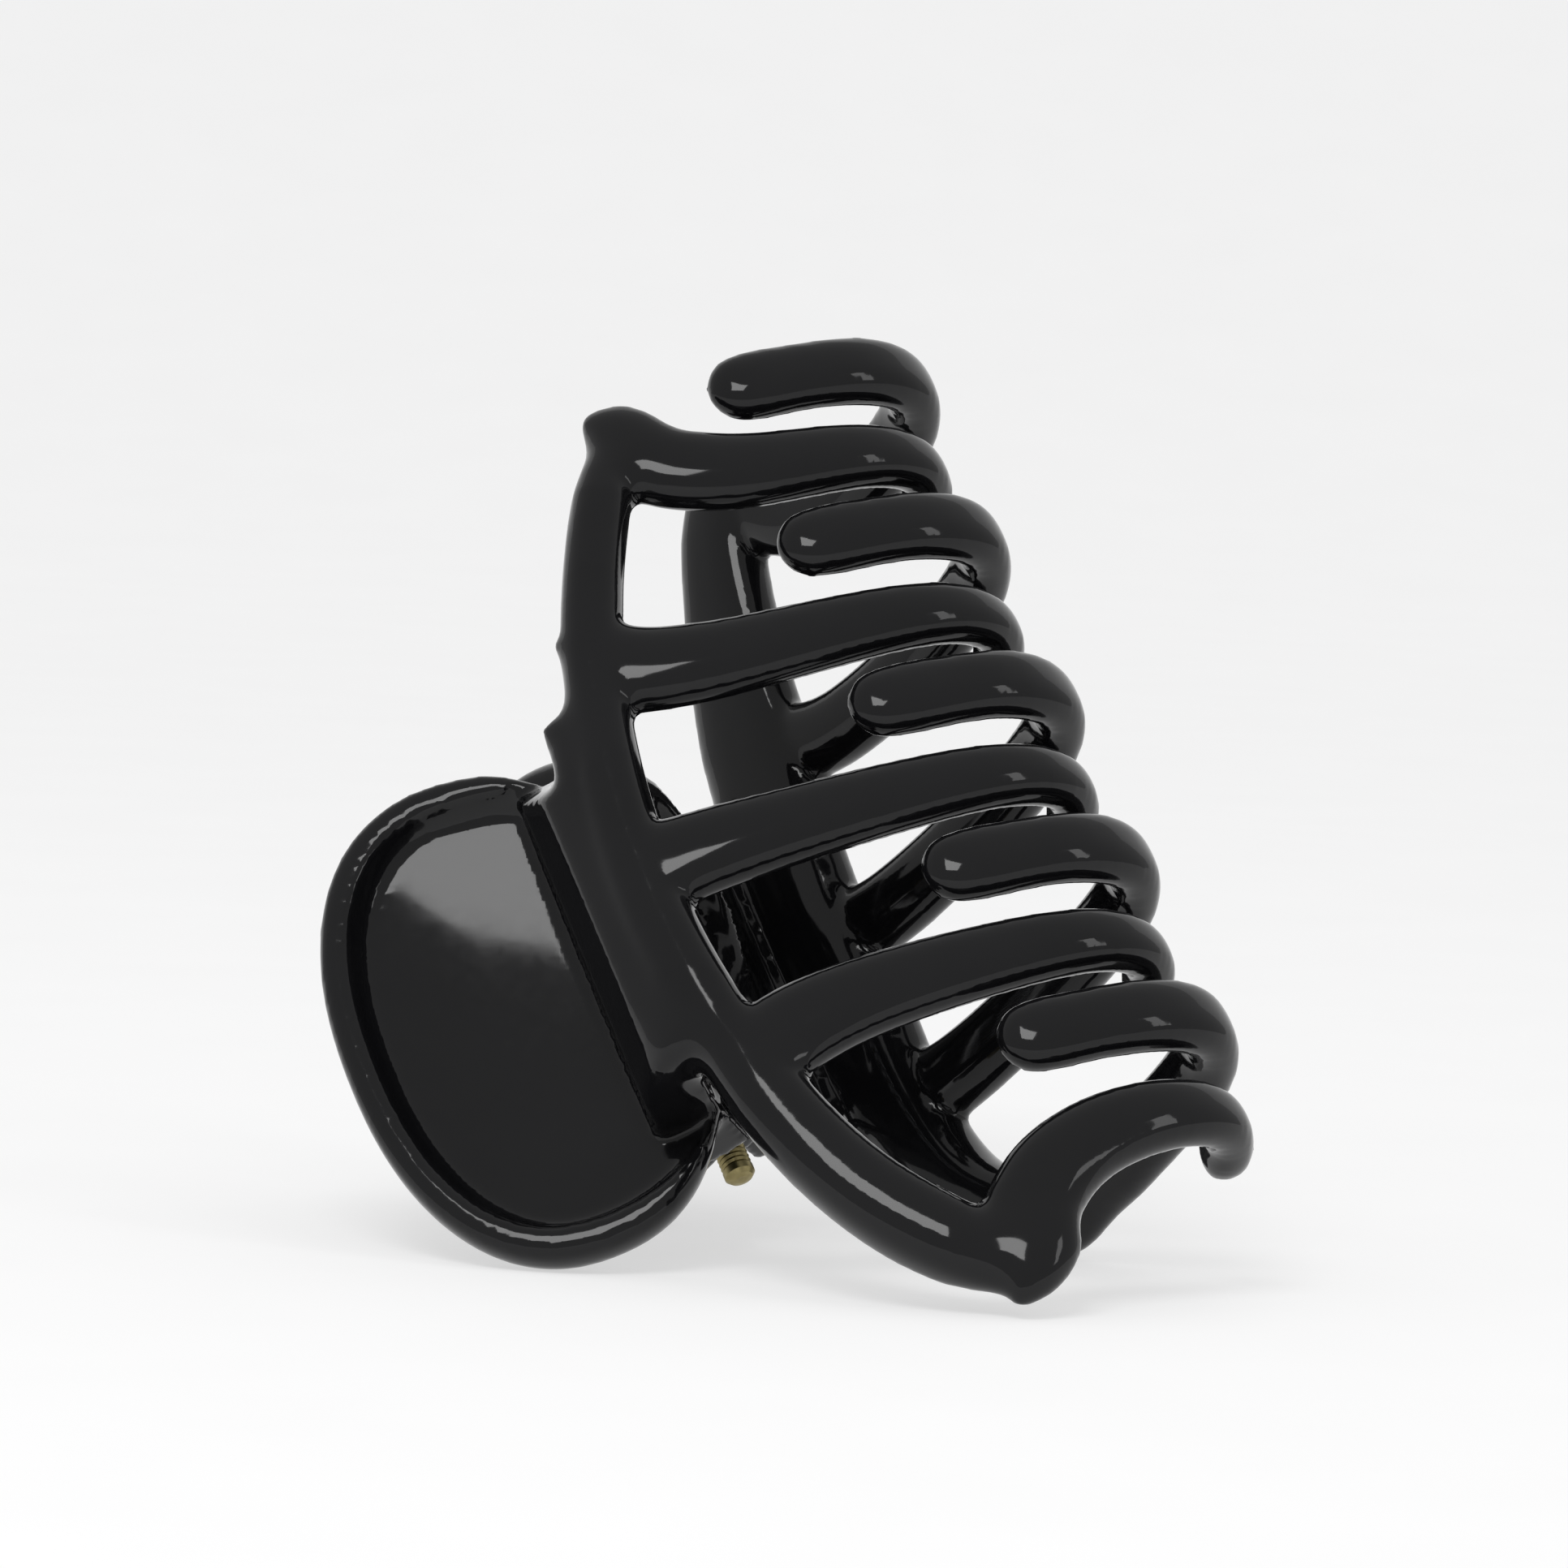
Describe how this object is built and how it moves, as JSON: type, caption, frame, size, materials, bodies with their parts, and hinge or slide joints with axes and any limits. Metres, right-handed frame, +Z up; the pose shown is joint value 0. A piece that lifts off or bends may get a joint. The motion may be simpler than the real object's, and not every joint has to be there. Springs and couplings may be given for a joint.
{
  "type": "hair claw clip",
  "caption": "Sprung hair claw: two interleaving hooked jaws with dished thumb paddles on one hinge pin.",
  "frame": {"origin": "centre of the bounding box's base, where the closed clip stands on both paddles' lower rims and the rear spine's low end", "axes": "+Z up as it stands, +X level to the right across the hooks' openings, +Y level and away from the front jaw"},
  "size_m": [0.0732, 0.0878, 0.0718],
  "materials": {
    "moulding": "polished black injection moulding",
    "pin": "dull drawn brass, ring-grooved end",
    "spring": "bright spring wire"
  },
  "bodies": {
    "rear": {"rear_jaw": "moulding", "hinge_pin": "pin", "torsion_spring": "spring"},
    "front": {"front_jaw": "moulding"}
  },
  "joints": [
    {"name": "jaw_hinge", "type": "hinge", "parent": "rear", "child": "front", "pos_m": [-0.01019, 0.00133, 0.02078], "axis": [0.3668, -0.5857, -0.7228], "range_deg": [0, 45], "stiffness_Nm_per_rad": 0.12, "springref_deg": -40.11, "deforming": ["torsion_spring"]}
  ]
}
